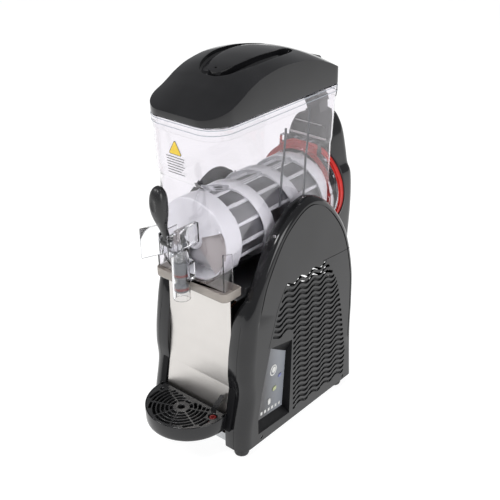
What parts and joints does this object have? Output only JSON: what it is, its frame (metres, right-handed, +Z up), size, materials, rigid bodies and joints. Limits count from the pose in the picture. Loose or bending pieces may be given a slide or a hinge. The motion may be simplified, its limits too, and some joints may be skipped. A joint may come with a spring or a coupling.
{
  "type": "slush machine",
  "caption": "Countertop slush machine with a clear bowl, a spiral auger on a cold drum, a lever tap, a domed lid and a drip tray.",
  "frame": {"origin": "middle of the width and depth, on the worktop under the feet", "axes": "+Z up, -Y towards the customer at the tap, +X to the right seen from the front"},
  "size_m": [0.27, 0.553, 0.802],
  "materials": {
    "gloss_black": "high-gloss black ABS",
    "satin_black": "fine satin black moulding",
    "lever_black": "soft satin black nylon",
    "clear_bowl": "clear polycarbonate",
    "clear_tap": "clear moulded polycarbonate",
    "smoke_clear": "slightly smoky clear plastic",
    "auger_white": "milky white acetal",
    "stainless": "brushed stainless sheet",
    "drum_steel": "turned stainless drum",
    "zinc_steel": "zinc plated steel sheet",
    "screw_steel": "plated steel",
    "spring_steel": "stainless wire",
    "black_steel": "satin black powder coat",
    "silicone_red": "red food silicone",
    "rubber_black": "black rubber",
    "piston_grey": "dark grey acetal",
    "gear_grey": "grey enamel",
    "fin_aluminium": "thin aluminium fins",
    "copper": "copper tube",
    "white_plastic": "off-white plastic",
    "display_glass": "dark display window",
    "key_grey": "grey key cap",
    "switch_red": "red rocker",
    "sticker": "printed label"
  },
  "bodies": {
    "machine": {"base_plate": "zinc_steel", "feet": "rubber_black", "right_side_panel": "gloss_black", "left_side_panel": "gloss_black", "panel_screws": "screw_steel", "front_panel": "stainless", "tray_brackets": "satin_black", "deck": "satin_black", "rear_panel": "black_steel", "tower_cover": "gloss_black", "neck": "gloss_black", "drum_flange": "satin_black", "drum": "drum_steel", "bowl_gasket": "silicone_red", "gearmotor": "gear_grey", "compressor": "black_steel", "condenser": "fin_aluminium", "fan_shroud": "black_steel", "fan_motor": "gear_grey", "filter_drier": "copper", "refrigerant_tubes": "copper", "control_box": "white_plastic", "control_bezel": "gloss_black", "display": "display_glass", "power_inlet": "satin_black", "switch_frame": "satin_black"},
    "fan": {"fan_blades": "white_plastic"},
    "left_key": {"key_left": "key_grey"},
    "middle_key": {"key_middle": "key_grey"},
    "right_key": {"key_right": "key_grey"},
    "rocker": {"power_rocker": "switch_red"},
    "auger_set": {"drive_shaft": "drum_steel", "shaft_seal": "rubber_black", "auger": "auger_white"},
    "bowl_set": {"bowl": "clear_bowl", "tap_body": "clear_tap", "lever_pin": "screw_steel", "tap_spring": "spring_steel", "bowl_sticker": "sticker", "drip_shelf": "smoke_clear"},
    "piston_set": {"tap_piston": "piston_grey", "piston_rings": "silicone_red"},
    "lever": {"tap_lever": "lever_black"},
    "lid_set": {"lid": "gloss_black"},
    "tray_set": {"drip_tray": "gloss_black"},
    "grate_set": {"drip_grate": "satin_black"},
    "float_set": {"tray_float": "silicone_red"}
  },
  "joints": [
    {"name": "bowl_slide", "type": "slide", "parent": "machine", "child": "bowl_set", "axis": [0, -1, 0], "range_m": [0, 0.37]},
    {"name": "lid_lift", "type": "slide", "parent": "bowl_set", "child": "lid_set", "axis": [0, 0, 1], "range_m": [0, 0.2]},
    {"name": "lever_pull", "type": "hinge", "parent": "bowl_set", "child": "lever", "pos_m": [0, -0.2185, 0.49], "axis": [1, 0, 0], "range_deg": [0, 34], "stiffness_Nm_per_rad": 0.6, "springref_deg": -11.46},
    {"name": "piston_lift", "type": "slide", "parent": "bowl_set", "child": "piston_set", "axis": [0, 0, 1], "range_m": [0, 0.0185], "deforming": ["tap_spring"]},
    {"name": "auger_spin", "type": "hinge", "parent": "machine", "child": "auger_set", "pos_m": [0, 0.0295, 0.468], "axis": [0, 1, 0], "continuous": true},
    {"name": "tray_slide", "type": "slide", "parent": "machine", "child": "tray_set", "axis": [0, -1, 0], "range_m": [0, 0.12]},
    {"name": "grate_lift", "type": "slide", "parent": "tray_set", "child": "grate_set", "axis": [0, 0, 1], "range_m": [0, 0.08]},
    {"name": "float_rise", "type": "slide", "parent": "tray_set", "child": "float_set", "axis": [0, 0, 1], "range_m": [0, 0.008]},
    {"name": "fan_spin", "type": "hinge", "parent": "machine", "child": "fan", "pos_m": [0.055, 0.0925, 0.155], "axis": [1, 0, 0], "continuous": true},
    {"name": "rocker_tip", "type": "hinge", "parent": "machine", "child": "rocker", "pos_m": [-0.06, 0.1975, 0.112], "axis": [0, 0, 1], "range_deg": [-16, 0]},
    {"name": "left_key_press", "type": "slide", "parent": "machine", "child": "left_key", "axis": [-1, 0, 0], "range_m": [0, 0.0015], "stiffness_N_per_m": 300},
    {"name": "middle_key_press", "type": "slide", "parent": "machine", "child": "middle_key", "axis": [-1, 0, 0], "range_m": [0, 0.0015], "stiffness_N_per_m": 300},
    {"name": "right_key_press", "type": "slide", "parent": "machine", "child": "right_key", "axis": [-1, 0, 0], "range_m": [0, 0.0015], "stiffness_N_per_m": 300}
  ],
  "couplings": [
    {"joint": "piston_lift", "follows": "lever_pull", "m_per_rad": 0.031}
  ]
}
